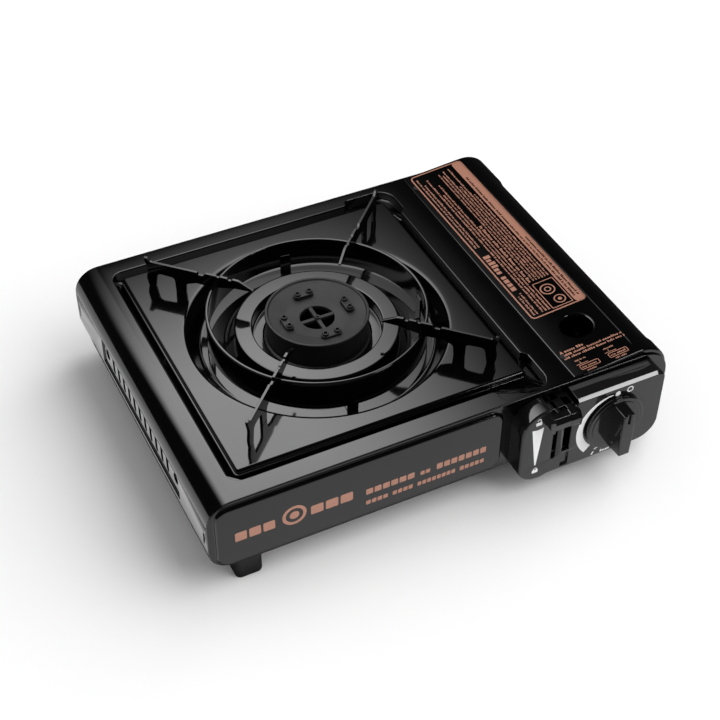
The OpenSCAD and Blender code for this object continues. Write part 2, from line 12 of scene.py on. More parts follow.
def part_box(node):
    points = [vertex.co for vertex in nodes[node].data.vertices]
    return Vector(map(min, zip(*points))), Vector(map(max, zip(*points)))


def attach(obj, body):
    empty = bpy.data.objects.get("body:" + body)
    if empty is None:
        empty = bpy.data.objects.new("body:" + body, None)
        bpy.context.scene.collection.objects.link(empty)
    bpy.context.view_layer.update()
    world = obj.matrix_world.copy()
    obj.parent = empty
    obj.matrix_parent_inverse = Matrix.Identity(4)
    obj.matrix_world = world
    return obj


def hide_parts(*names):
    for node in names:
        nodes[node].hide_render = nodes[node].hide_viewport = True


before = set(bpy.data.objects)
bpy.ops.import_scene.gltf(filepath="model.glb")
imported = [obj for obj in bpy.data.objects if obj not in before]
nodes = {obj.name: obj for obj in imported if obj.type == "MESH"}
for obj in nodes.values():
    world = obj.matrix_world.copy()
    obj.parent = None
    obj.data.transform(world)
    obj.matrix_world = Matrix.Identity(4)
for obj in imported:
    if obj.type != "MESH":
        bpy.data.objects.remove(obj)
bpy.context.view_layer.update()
MM = 0.001


# ---------------------------------------------------------------- sizes from the frame

def edge(node, side, axis):
    """One face of a node's box: side 0 is the lowest, 1 the highest; axis 0, 1, 2 is X, Y, Z."""
    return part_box(node)[side][axis] / MM


def middle(node, axis):
    return (edge(node, 0, axis) + edge(node, 1, axis)) / 2


# case
SHEET = 0.8
XL, XR = edge("casing_wrap", 0, 0), edge("front_panel", 1, 0)
YF, YB = edge("casing_wrap", 0, 1) - SHEET, edge("rear_panel", 1, 1)
TOP = edge("casing_wrap", 1, 2)
ZB, ZBAY = edge("casing_wrap", 0, 2), edge("bay_tray", 0, 2)
SEAM_GAP, SEAM_DEPTH = 0.5, 6
XS = edge("lid", 0, 0) - SEAM_GAP / 2
LEFT_R, RIGHT_R = 18, 22
EDGE_R = 0.8

# pan, ring and burner; heights are from the top plate
BX, BY = middle("windbreak_ring", 0), middle("windbreak_ring", 1)
HALF_PAN = (edge("drip_pan", 1, 0) - edge("drip_pan", 0, 0)) / 2
RECESS_DEPTH, GUTTER_DEPTH = 4.6, 8
CHAMBER_R = 98
BOWL_R, BOWL_IN, BOWL_DEPTH = 93.7, 57.8, 14
WELL_R, WELL_DEPTH, WELL_HOLE_R = 45.6, 8.5, 38.4
SPARK_X, SPARK_Y = middle("igniter_electrode", 0), middle("igniter_electrode", 1)
RING_R = 76.1
RING_TOP = 15.4
RIM_ROLL = 1.2
BURNER_R, BURNER_TOP = 36.5, 11.4
CENTRE_HOLE_R = 12
PORT_R, PORT_APART = 23, 9

# lid
LID_SLOPE = math.radians(5.2)
LID_R = 24
LID_X = XR - LID_R
LID_CZ = TOP + (LID_X - XS) * math.tan(LID_SLOPE) - LID_R / math.cos(LID_SLOPE)
LID_Y0, LID_Y1 = edge("lid", 0, 1), edge("lid", 1, 1)
LID_LOW = edge("lid", 0, 2)
FINGER_X, FINGER_Y, FINGER_R = 123.6, -66.4, 11.5
PRESS_Y0, PRESS_Y1, PRESS_RAMP, PRESS_DEPTH = -97, 113, 5, 1.0

# front and controls
EMBOSS_OUT = 2.6
PANEL_FACE = edge("control_panel", 0, 1)
PANEL_X0, PANEL_X1 = edge("control_panel", 0, 0), edge("control_panel", 1, 0)
PANEL_Z0, PANEL_Z1 = edge("control_panel", 0, 2), edge("control_panel", 1, 2)
KNOB_X, KNOB_Z = middle("control_knob", 0), middle("control_knob", 2)
KNOB_R = (edge("control_knob", 1, 0) - edge("control_knob", 0, 0)) / 2
KNOB_FRONT = edge("control_knob", 0, 1)


# ---------------------------------------------------------------- outlines

def arc(cx, cy, radius, start, end, steps=8):
    """Points of an arc; angles in degrees."""
    angles = [math.radians(start + (end - start) * i / steps) for i in range(steps + 1)]
    return [Vector((cx + radius * math.cos(a), cy + radius * math.sin(a))) for a in angles]


def rounded(corners, closed=True):
    """An outline of (a, b, radius) corners as (point, normal) pairs; normals point to its right."""
    points = [Vector(c[:2]) for c in corners]
    count = len(points)
    result = []
    for i, here in enumerate(points):
        first, last = i == 0, i == count - 1
        if not closed and (first or last):
            along = (points[1] - here if first else here - points[i - 1]).normalized()
            result.append((here, Vector((along.y, -along.x))))
            continue
        before = (here - points[i - 1]).normalized()
        after = (points[(i + 1) % count] - here).normalized()
        angle = math.atan2(before.x * after.y - before.y * after.x, before.dot(after))
        normal = Vector((before.y, -before.x))
        radius = corners[i][2]
        if abs(angle) < 0.001:
            result.append((here, normal))
        elif radius == 0:
            turned = Vector((after.y, -after.x))
            result.append((here, (normal + turned) / (1 + normal.dot(turned))))
        else:
            side = math.copysign(radius, angle)
            centre = here - before * radius * math.tan(abs(angle) / 2) - normal * side
            steps = max(2, math.ceil(abs(angle) / (math.pi / 2) * (3 + 1.6 * math.sqrt(radius))))
            for k in range(steps + 1):
                direction = normal.copy()
                direction.rotate(Matrix.Rotation(angle * k / steps, 2))
                result.append((centre + direction * side, direction))
    return result


def path(corners):
    """The points alone of an open path with rounded corners."""
    return [point for point, normal in rounded(corners, closed=False)]


def rectangle(x0, y0, x1, y1, radius):
    return rounded([(x0, y0, radius), (x1, y0, radius), (x1, y1, radius), (x0, y1, radius)])


def circle(cx, cy, radius, steps=48):
    pairs = []
    for i in range(steps):
        normal = Vector((math.cos(math.tau * i / steps), math.sin(math.tau * i / steps)))
        pairs.append((Vector((cx, cy)) + normal * radius, normal))
    return pairs


def convex(radius, steps=4):
    """Section of a rounded edge: (outwards, upwards) from the wall to the face."""
    return [tuple(p) for p in arc(-radius, -radius, radius, 0, 90, steps)]


def on_top(z):
    return lambda p, up: (p.x, p.y, z + up)


def on_front(y):
    return lambda p, up: (p.x, y - up, p.y)


def on_rear(y):
    return lambda p, up: (p.x, y + up, p.y)


def on_left(x):
    return lambda p, up: (x - up, p.x, p.y)


def about_burner(degrees):
    """Places a shape made about the origin on the burner's axis, at the height of the top, and turns it."""
    return Matrix.Translation(Vector((BX, BY, TOP)) * MM) @ Matrix.Rotation(math.radians(degrees), 4, "Z")


def lid_height(x):
    return TOP + (x - XS) * math.tan(LID_SLOPE)


def on_lid(p, up):
    return (p.x, p.y, lid_height(p.x) + up)


# ---------------------------------------------------------------- mesh building

SHARP_ANGLE = 34


class Shape:
    """A mesh under construction."""

    def __init__(self):
        self.bm = bmesh.new()

    def loop(self, points):
        return [self.bm.verts.new(Vector(p) * MM) for p in points]

    def face(self, verts):
        if len(set(verts)) == len(verts):
            self.bm.faces.new(verts)

    def bridge(self, one, other, closed=True):
        for i in range(len(one) if closed else len(one) - 1):
            j = (i + 1) % len(one)
            self.face((one[i], one[j], other[j], other[i]))

    def skin(self, rings, closed=True):
        """Bridges each ring to the next."""
        for one, other in zip(rings, rings[1:]):
            self.bridge(one, other, closed)

    def plate(self, outer, *holes):
        verts = [v for ring in (outer, *holes) for v in ring]
        for corners in tessellate_polygon([[v.co / MM for v in ring] for ring in (outer, *holes)]):
            self.face([verts[i] for i in corners])

    def sweep(self, outline, section, place, closed=True):
        """Carries a section of (outwards, upwards) points round an outline; returns its rings."""
        rings = [self.loop([place(p + n * out, up) for p, n in outline]) for out, up in section]
        self.skin(rings, closed)
        return rings

    def slab(self, outline, low, high, bevel, place):
        """A closed plate with rounded edges between two heights."""
        edge_in = convex(bevel, 3)
        section = [(o, low - u) for o, u in reversed(edge_in)] + [(o, high + u) for o, u in edge_in]
        rings = self.sweep(outline, section, place)
        self.plate(rings[0])
        self.plate(rings[-1])

    def revolve(self, section, cx, cy, z, steps=128, whole=True):
        """Turns (radius, height) points about a vertical axis; a whole section closes on itself."""
        spin = [(math.cos(math.tau * i / steps), math.sin(math.tau * i / steps)) for i in range(steps)]
        rings = [self.loop([(cx + r * c, cy + r * s, z + h) for c, s in spin]) for r, h in section]
        self.skin(rings + rings[:1] if whole else rings)
        return rings

    def strip(self, points, y0, y1):
        """A sheet of constant section along Y; points are (x, z)."""
        self.bridge(self.loop([(p.x, y0, p.y) for p in points]),
                    self.loop([(p.x, y1, p.y) for p in points]), closed=False)

    def turn(self, verts_before, matrix):
        """Moves everything made since a count of vertices was taken."""
        self.bm.verts.ensure_lookup_table()
        bmesh.ops.transform(self.bm, matrix=matrix, verts=self.bm.verts[verts_before:])

    def block(self, a, b, bevel=0.4):
        """A box between two corners with rounded edges."""
        self.slab(rectangle(a[0], a[1], b[0], b[1], bevel + 0.05), a[2], b[2], bevel, on_top(0))


def finish_mesh(obj):
    """Replaces an object's mesh by the result of its modifiers."""
    graph = bpy.context.evaluated_depsgraph_get()
    mesh = bpy.data.meshes.new_from_object(obj.evaluated_get(graph))
    obj.modifiers.clear()
    obj.data = mesh
    mesh.name = obj.name


def piece(shape, name, body, material, replaces=(), sheet=0, facing=(0, 0, 1), flat=False):
    """Makes the object. A sheet is thickened away from its outer side, which looks along facing."""
    bm = shape.bm
    towards = Vector(facing)
    if flat:
        for face in bm.faces:
            face.normal_update()
            if face.normal.dot(towards) < 0:
                face.normal_flip()
    else:
        bmesh.ops.remove_doubles(bm, verts=bm.verts, dist=0.002 * MM)
        bmesh.ops.recalc_face_normals(bm, faces=bm.faces)
        # of faces that lie equally far out, the one that looks along facing decides
        outermost = max(bm.faces, key=lambda f: round(f.calc_center_median().dot(towards), 6)
                        + 1e-7 * abs(f.normal.dot(towards)))
        if outermost.normal.dot(towards) < 0:
            bmesh.ops.reverse_faces(bm, faces=bm.faces)
    mesh = bpy.data.meshes.new(name)
    bm.to_mesh(mesh)
    bm.free()
    mesh.polygons.foreach_set("use_smooth", [True] * len(mesh.polygons))
    mesh.set_sharp_from_angle(angle=math.radians(SHARP_ANGLE))
    mesh.materials.append(material)
    obj = bpy.data.objects.new(name, mesh)
    bpy.context.scene.collection.objects.link(obj)
    if sheet:
        thicken = obj.modifiers.new("thicken", "SOLIDIFY")
        thicken.thickness = sheet * MM
        thicken.offset = -1
    weighted = obj.modifiers.new("weighted", "WEIGHTED_NORMAL")
    weighted.keep_sharp = True
    finish_mesh(obj)
    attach(obj, body)
    if replaces:
        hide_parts(*replaces)


# ---------------------------------------------------------------- materials

def surface(name, colour, roughness, metallic=0.0, grain=400, bump=0.02, spread=0.06, tone=0.12, specular=0.5):
    """A procedural finish: fine relief, drifting roughness and a slight change of tone."""
    mat = bpy.data.materials.new(name)
    mat.use_nodes = True
    tree = mat.node_tree
    shader = tree.nodes["Principled BSDF"]
    shader.inputs["Metallic"].default_value = metallic
    shader.inputs["IOR"].default_value = 1.5
    shader.inputs["Specular IOR Level"].default_value = specular
    coords = tree.nodes.new("ShaderNodeTexCoord")

    def noise(scale, detail):
        node = tree.nodes.new("ShaderNodeTexNoise")
        node.inputs["Scale"].default_value = scale
        node.inputs["Detail"].default_value = detail
        tree.links.new(coords.outputs["Object"], node.inputs["Vector"])
        return node.outputs["Fac"]

    drift = noise(18, 4)
    tone_map = tree.nodes.new("ShaderNodeMix")
    tone_map.data_type = "RGBA"
    tone_map.inputs["A"].default_value = (*[c * (1 - tone) for c in colour], 1)
    tone_map.inputs["B"].default_value = (*[c * (1 + tone) for c in colour], 1)
    tree.links.new(drift, tone_map.inputs["Factor"])
    tree.links.new(tone_map.outputs["Result"], shader.inputs["Base Color"])
    rough_map = tree.nodes.new("ShaderNodeMapRange")
    rough_map.inputs["From Min"].default_value = 0.35
    rough_map.inputs["From Max"].default_value = 0.65
    rough_map.inputs["To Min"].default_value = max(0.02, roughness - spread / 2)
    rough_map.inputs["To Max"].default_value = roughness + spread / 2
    tree.links.new(noise(60, 5), rough_map.inputs["Value"])
    tree.links.new(rough_map.outputs["Result"], shader.inputs["Roughness"])
    relief = tree.nodes.new("ShaderNodeBump")
    relief.inputs["Strength"].default_value = bump
    relief.inputs["Distance"].default_value = 0.0004
    tree.links.new(noise(grain, 3), relief.inputs["Height"])
    tree.links.new(relief.outputs["Normal"], shader.inputs["Normal"])
    return mat


BLACK = surface("black_enamel", (0.0012, 0.0012, 0.0013), 0.09, grain=240, bump=0.005, spread=0.04)
PAN = surface("pan_enamel", (0.0010, 0.0010, 0.0011), 0.08, grain=200, bump=0.006, spread=0.03)
IRON = surface("burner_iron", (0.0055, 0.0055, 0.0057), 0.52, specular=0.22, grain=2600, bump=0.30, spread=0.10)
ZINC = surface("zinc_steel", (0.42, 0.43, 0.44), 0.34, metallic=1.0, grain=900, bump=0.05)
ALUMINIUM = surface("aluminium", (0.62, 0.63, 0.64), 0.38, metallic=1.0, grain=1200, bump=0.05)
BRASS = surface("brass", (0.60, 0.42, 0.18), 0.28, metallic=1.0, grain=900, bump=0.04)
PLASTIC = surface("satin_plastic", (0.0075, 0.0075, 0.0078), 0.09, grain=1400, bump=0.015, spread=0.03)
KNOB_PLASTIC = surface("knob_plastic", (0.004, 0.004, 0.0042), 0.09, grain=1400, bump=0.03, spread=0.05)
CERAMIC = surface("ceramic", (0.72, 0.68, 0.58), 0.42, grain=1800, bump=0.06)
RUBBER = surface("rubber", (0.010, 0.010, 0.010), 0.62, grain=2400, bump=0.12)
COPPER = surface("copper_print", (0.40, 0.185, 0.125), 0.36, grain=2200, bump=0.05)
WHITE = surface("white_print", (0.86, 0.86, 0.86), 0.42, grain=2200, bump=0.04, tone=0.02)


# ---------------------------------------------------------------- casing

def recess_corners():
    """Outline of the recess, with a pad for a foot of the turned pan at each right corner."""
    left, right, half, pad_right = BX - 112.5, BX + 111.5, 113, BX + 115.3
    pad_left = BX + 78
    front, back = BY - 125, BY + 118.7
    return [
        (left, BY - half, 9), (pad_left, BY - half, 4), (pad_left, front, 6), (pad_right, front, 13),
        (pad_right, BY - 92, 3), (right, BY - 88, 3), (right, BY + 88, 3), (pad_right, BY + 92, 3),
        (pad_right, back, 13), (pad_left, back, 3), (pad_left, BY + half, 2.5), (left, BY + half, 9),
    ]


def build_casing():
    shape = Shape()
    y0, y1 = YF + EDGE_R + 0.1, YB - EDGE_R - 0.1
    flat_x0, flat_x1 = XL + LEFT_R, XS - SEAM_GAP / 2 - EDGE_R
    # top plate with the recess for the drip pan
    outer = shape.loop([(flat_x0, y0, TOP), (flat_x1, y0, TOP), (flat_x1, y1, TOP), (flat_x0, y1, TOP)])
    wall = [tuple(p) for p in arc(EDGE_R, -EDGE_R, EDGE_R, 90, 180, 4)]
    rim = rounded(recess_corners())
    rings = shape.sweep(rim, wall, on_top(TOP))
    shape.plate(outer, rings[0])
    # the floor falls towards the pan at the front and left, and into a gutter along the back and right walls
    shallow = 2
    foot = shape.loop([(p.x, p.y, TOP - shallow - (GUTTER_DEPTH - shallow) * max(0, n.x, n.y)) for p, n in rim])
    shape.bridge(rings[-1], foot)
    half = HALF_PAN - 0.3
    under_pan = shape.loop([
        (p.x, p.y, TOP - GUTTER_DEPTH + (GUTTER_DEPTH - RECESS_DEPTH) * max(0, n.x, n.y))
        for p, n in rectangle(BX - half, BY - half, BX + half, BY + half, 3)])
    hole = shape.loop([(p.x, p.y, TOP - RECESS_DEPTH) for p, n in circle(BX, BY, CHAMBER_R, 96)])
    shape.plate(foot, under_pan)
    shape.plate(under_pan, hole)
    # turned edge at the seam
    turned = [Vector((flat_x1 + EDGE_R + o, TOP + u)) for o, u in convex(EDGE_R)]
    shape.strip([Vector((flat_x1 + EDGE_R, TOP - SEAM_DEPTH)), *turned], y0, y1)
    # left bends
    flat_top, flat_low = TOP - LEFT_R + 0.6, ZB + LEFT_R
    shape.strip(arc(flat_x0, TOP - LEFT_R, LEFT_R, 90, 178, 16), y0, y1)
    shape.strip(arc(flat_x0, ZB + LEFT_R, LEFT_R, 180, 270, 12), y0, y1)
    # left side with the pressed field, slots and holes
    side = shape.loop([(XL, y0, flat_low), (XL, y1, flat_low), (XL, y1, flat_top), (XL, y0, flat_top)])
    field = rectangle(-62.6, 39.2, 86.6, 60.3, 1.8)
    step = [(0, 0), (-0.2, -0.1), (-0.45, -0.5), (-0.7, -1.0), (-0.9, -1.1)]
    pressed = shape.sweep(field, step, on_left(XL))
    tabs = [rectangle(y - 1.1, 41.5, y + 1.1, 51, 1) for y in (137.2, -104.4)]
    shape.plate(side, pressed[0], *[shape.loop([(XL, p.x, p.y) for p, n in tab]) for tab in tabs])
    vent_y, vent_w, pitch = -41.3, 4.4, 10.42
    vents = [rectangle(y, 44.3, y + vent_w, 59.2, 2.15) for y in (vent_y + pitch * i for i in range(11))]
    vents += [circle(y, 52, 4, 32) for y in (-54.5, 77.2)]
    holes = []
    for vent in vents:
        holes.append(shape.sweep(vent, [(0.15, -1.1), (0, -1.25), (0, -1.6)], on_left(XL))[0])
    shape.plate(pressed[-1], *holes)
    piece(shape, "case_wrap", "casing", BLACK, ["casing_wrap"], sheet=SHEET)


def end_corners():
    """Outline of the end sheets, seen from the front."""
    return [
        (XL, ZB, LEFT_R), (XS, ZB, 4), (XS, ZBAY, 6), (XR, ZBAY, 14), (XR, TOP, RIGHT_R), (XL, TOP, LEFT_R),
    ]


def build_front():
    shape = Shape()
    rim = shape.sweep(rounded(end_corners()), convex(EDGE_R), on_front(YF))
    field = rectangle(-167, 22.6, 39.5, 74.2, 9)
    foot = [(0.8 + o, 0.8 + u) for o, u in arc(0, 0, 0.8, -90, -180, 3)]
    crown = [(o, EMBOSS_OUT + u) for o, u in convex(1.8, 5)]
    raised = shape.sweep(field, foot + crown[1:], on_front(YF))
    cut = shape.loop([(p.x, YF, p.y) for p, n in rectangle(62, 16, 146, 72, 6)])
    shape.plate(rim[-1], raised[0], cut)
    shape.plate(raised[-1])
    piece(shape, "front_sheet", "casing", BLACK, ["front_panel"],
          sheet=SHEET, facing=(0, -1, 0))


def build_rear():
    shape = Shape()
    rim = shape.sweep(rounded(end_corners()), convex(EDGE_R), on_rear(YB))
    step = [(0, 0), (-0.3, -0.15), (-0.9, -1.05), (-1.2, -1.2)]
    field = shape.sweep(rectangle(-142, 28, 62, 64, 6), step, on_rear(YB))
    grommet = shape.loop([(p.x, YB, p.y) for p, n in circle(133.5, 40, 9)])
    shape.plate(rim[-1], field[0], grommet)
    vent_x, vent_w, pitch = -132.5, 5, 14
    vents = [rectangle(x, 36, x + vent_w, 56, 2.4) for x in (vent_x + pitch * i for i in range(14))]
    holes = [shape.sweep(vent, [(0.15, -1.2), (0, -1.35), (0, -1.8)], on_rear(YB))[0] for vent in vents]
    shape.plate(field[-1], *holes)
    piece(shape, "rear_sheet", "casing", BLACK, ["rear_panel"],
          sheet=SHEET, facing=(0, 1, 0))


def build_feet():
    shape = Shape()
    ends = (YF + 11, YB - 18)
    for y in ends:
        foot = rectangle(-153.5, y - 9, -134.5, y + 9, 4)
        shape.slab(foot, 0, ZB, 1.2, on_top(0))
        shape.slab(rectangle(-154.3, y - 9.8, -133.7, y + 9.8, 4.6), ZB - 3, ZB, 0.5, on_top(0))
        for x in (XS + 20, XR - 28):
            rim = [tuple(p) for p in arc(6.8, 1.2, 1.2, -90, 0, 4)]
            shape.revolve([(0.4, 0), *rim, (8, ZBAY), (0.4, ZBAY)], x, y, 0, 48)
    piece(shape, "moulded_feet", "casing", RUBBER, ["feet"])


# ---------------------------------------------------------------- lid

def lid_section():
    """The lid's rounded right part as (point, outward normal) pairs."""
    pairs = []
    centre = Vector((LID_X, LID_CZ))
    for p in arc(LID_X, LID_CZ, 1, 90 + math.degrees(LID_SLOPE), 0, 24):
        normal = p - centre
        pairs.append((centre + normal * LID_R, normal))
    return pairs


def lid_press(y, turn):
    """Depth of the long pressed band on the rounded side; turn runs from 0 on top to 1 at the side."""
    along = min((y - PRESS_Y0) / PRESS_RAMP, (PRESS_Y1 - y) / PRESS_RAMP, 1)
    around = min((turn - 0.24) / 0.2, 1)
    return PRESS_DEPTH * max(0, along) * max(0, around)


def build_lid():
    shape = Shape()
    left = XS + SEAM_GAP / 2
    fillet = 1.6
    y0, y1 = LID_Y0 + fillet, LID_Y1 - fillet
    # sloped plate with the finger hole
    section = lid_section()
    slope_end = section[0][0]
    plate_x0 = left + 6
    seam = path([
        (left, TOP - SEAM_DEPTH, 0), (left, lid_height(left), EDGE_R), (plate_x0, lid_height(plate_x0), 0),
    ])
    corners = [(plate_x0, y0), (slope_end.x, y0), (slope_end.x, y1), (plate_x0, y1)]
    outer = shape.loop([(x, y, lid_height(x)) for x, y in corners])
    ring = circle(FINGER_X, FINGER_Y, FINGER_R, 64)
    rim = shape.sweep(ring, [(-o, u) for o, u in reversed(convex(1.5, 5))] + [(0, -3.4)], on_lid)
    shape.plate(outer, rim[0])
    shape.strip(seam, y0, y1)
    # rounded side with its pressed band
    ramp_in = [PRESS_Y0 + step for step in (0, 1.5, 3.5, PRESS_RAMP)]
    ramp_out = [PRESS_Y1 - step for step in (PRESS_RAMP, 3.5, 1.5, 0)]
    side_ys = [y0, *ramp_in, -60, -20, 20, 60, *ramp_out, y1]
    side_zs = (54, LID_LOW + 8, LID_LOW + 4, LID_LOW)
    columns = []
    for y in side_ys:
        points = []
        for i, (p, n) in enumerate(section):
            q = p - n * lid_press(y, i / (len(section) - 1))
            points.append((q.x, y, q.y))
        pressed_in = lid_press(y, 1)
        points += [(XR - pressed_in, y, z) for z in side_zs[:2]] + [(XR, y, z) for z in side_zs[2:]]
        columns.append(shape.loop(points))
    shape.skin(columns, closed=False)
    # turned ends
    plate_start = [(seam[-1], Vector((-math.sin(LID_SLOPE), math.cos(LID_SLOPE))))]
    profile = plate_start + section + [(Vector((XR, z)), Vector((1, 0))) for z in side_zs]
    for y_flat, sign in ((LID_Y0, -1), (LID_Y1, 1)):
        rings = []
        for depth, drop in [*reversed(convex(fillet, 5)), (0, -6)]:
            rings.append(shape.loop([((p + n * drop).x, y_flat + sign * depth, (p + n * drop).y)
                                     for p, n in profile]))
        shape.skin(rings, closed=False)
    piece(shape, "lid_cover", "lid", BLACK, ["lid"], sheet=SHEET)


# ---------------------------------------------------------------- drip pan, ring and arms

def build_pan():
    shape = Shape()
    outline = rectangle(BX - HALF_PAN, BY - HALF_PAN, BX + HALF_PAN, BY + HALF_PAN, 2.6)
    lip = [(1.3, -3.4), (0.6, -3.4), (0.2, -3.2), (0, -2.8)]
    rings = shape.sweep(outline, lip + convex(1.9, 6), on_top(TOP))
    trough = path([
        (BOWL_R + 3.5, 0, 0), (BOWL_R - 1.6, 0, 3.5), (BOWL_R - 10.8, -BOWL_DEPTH, 4),
        (BOWL_IN + 6.4, -BOWL_DEPTH, 3.5), (BOWL_IN - 0.4, 0.4, 2), (WELL_R, 0.4, 1.4),
        (WELL_R - 0.4, -WELL_DEPTH, 0.8), (WELL_R - 1.6, -WELL_DEPTH, 0),
    ])
    bowl = shape.revolve([(p.x, p.y) for p in trough], BX, BY, TOP, whole=False)
    shape.plate(rings[-1], bowl[0])
    # floor of the well round the burner, with a hole for the spark
    floor_z = TOP - WELL_DEPTH
    holes = [shape.loop([(p.x, p.y, floor_z) for p, n in hole])
             for hole in (circle(BX, BY, WELL_HOLE_R, 96), circle(SPARK_X, SPARK_Y, 2, 24))]
    shape.plate(bowl[-1], *holes)
    piece(shape, "hob_pan", "pan_support", PAN, ["drip_pan"], sheet=SHEET)


def build_ring():
    shape = Shape()
    low = -8
    roll = arc(RING_R, RING_TOP - RIM_ROLL, RIM_ROLL, 205, -25, 14)
    skirt = [(RING_R + 0.4, low), *[tuple(p) for p in roll], (RING_R + 1.1, low + 0.3), (RING_R + 0.9, low)]
    shape.revolve(skirt, BX, BY, TOP)
    for turn in range(4):
        count = len(shape.bm.verts)
        shape.slab(rectangle(-4, -BOWL_DEPTH, 4, 3, 1.2), RING_R - 1.1, RING_R + 0.1, 0.3,
                   lambda p, up: (up, p.x, p.y))
        foot = rectangle(RING_R - 6.5, -4, RING_R + 0.1, 4, 1.2)
        shape.slab(foot, -BOWL_DEPTH, -BOWL_DEPTH + 1, 0.3, on_top(0))
        shape.turn(count, about_burner(83 + 90 * turn))
    piece(shape, "wind_ring", "pan_support", PAN, ["windbreak_ring"])


ARM_OUTLINE = [
    (127.5, 0, 0.8), (128.8, 7, 6), (127.3, 15, 8), (129.7, 23.4, 2), (129.9, 25, 0.7), (127.3, 25, 1),
    (124.5, 22, 2), (89.5, 22, 1), (88, 20.2, 0.8), (84.5, 20.2, 0.8), (83, 22.6, 0.8), (75, 22.6, 0.6),
    (74, 21.8, 0.4), (72.5, 21.8, 0.4), (71.5, 22.6, 0.6), (66.5, 22.6, 0.6), (65.5, 21.2, 0.5),
    (63.5, 21.2, 0.5), (62.5, 22.6, 0.6), (58, 22.4, 2), (47, 16.6, 0.6), (46.6, 15.4, 0.5), (60, 15, 4),
    (73, 12.4, 0.6), (74.4, 12.4, 0.4), (74.4, 15.5, 0.4), (77.8, 15.5, 0.4), (77.8, 11.4, 0.4), (90, 12, 3),
    (98, 9, 3), (98.6, 0, 0.5), (106.5, 0, 0.5), (106.9, 12, 2.8), (119.8, 12.8, 3.2), (122, 0, 0.5),
]


def build_arms():
    for i in range(4):
        shape = Shape()
        shape.slab(rounded(ARM_OUTLINE), -1, 1, 0.35, lambda p, up: (p.x, up, p.y))
        shape.turn(0, about_burner(45 + 90 * i))
        piece(shape, f"pot_arm_{i + 1}", "pan_support", PAN, [f"support_arm_{i + 1}"])


# ---------------------------------------------------------------- burner

def build_burner():
    shape = Shape()
    outer, wall, low = BURNER_R, 3, -12
    section = path([
        (CENTRE_HOLE_R, BURNER_TOP - 8.9, 0), (CENTRE_HOLE_R, BURNER_TOP - 6, 0.7),
        (CENTRE_HOLE_R + 10, BURNER_TOP - 4.6, 12), (outer - 2.4, BURNER_TOP - 1.2, 1.2),
        (outer - 1.9, BURNER_TOP, 0.7), (outer, BURNER_TOP, 0.9), (outer, BURNER_TOP - 2.6, 0.4),
        (outer - 0.9, BURNER_TOP - 3.2, 0.4), (outer - 0.7, -8.6, 0.5), (outer + 1, -9.6, 0.5),
        (outer + 1, low, 0.4), (outer - wall, low, 0.4), (outer - wall, BURNER_TOP - 7.4, 1),
        (CENTRE_HOLE_R + 1, BURNER_TOP - 8.9, 0),
    ])
    shape.revolve([(p.x, p.y) for p in section], BX, BY, TOP)
    for turn in range(2):
        count = len(shape.bm.verts)
        reach = CENTRE_HOLE_R + 0.6
        shape.block((-reach, -1.5, BURNER_TOP - 9.4), (reach, 1.5, BURNER_TOP - 6.4), 0.5)
        shape.turn(count, about_burner(90 * turn))
    piece(shape, "burner_casting", "casing", IRON, ["burner_head"])


def build_ports():
    shape = Shape()
    base = BURNER_TOP - 5
    for turn in range(4):
        count = len(shape.bm.verts)
        shape.slab(rectangle(-3, -7.4, 3, 7.4, 2.8), base - 0.3, base + 3.2, 0.5, on_top(0))
        for y in (-PORT_APART / 2, PORT_APART / 2):
            tube = [(1.2, 1.4), (2.3, 1.4), (2.3, 4.4), (2.0, 4.8), (1.4, 4.8), (1.2, 4.5)]
            shape.revolve([(r, base + z) for r, z in tube], 0, y, 0, 24)
            plug = [(0.01, 3.3), (1.2, 3.3), (1.2, 2), (0.01, 2)]
            shape.revolve([(r, base + z) for r, z in plug], 0, y, 0, 24)
        shape.turn(count, about_burner(90 * turn) @ Matrix.Translation((PORT_R * MM, 0, 0)))
    piece(shape, "port_blocks", "casing", IRON, ["flame_ports"])


# ---------------------------------------------------------------- controls

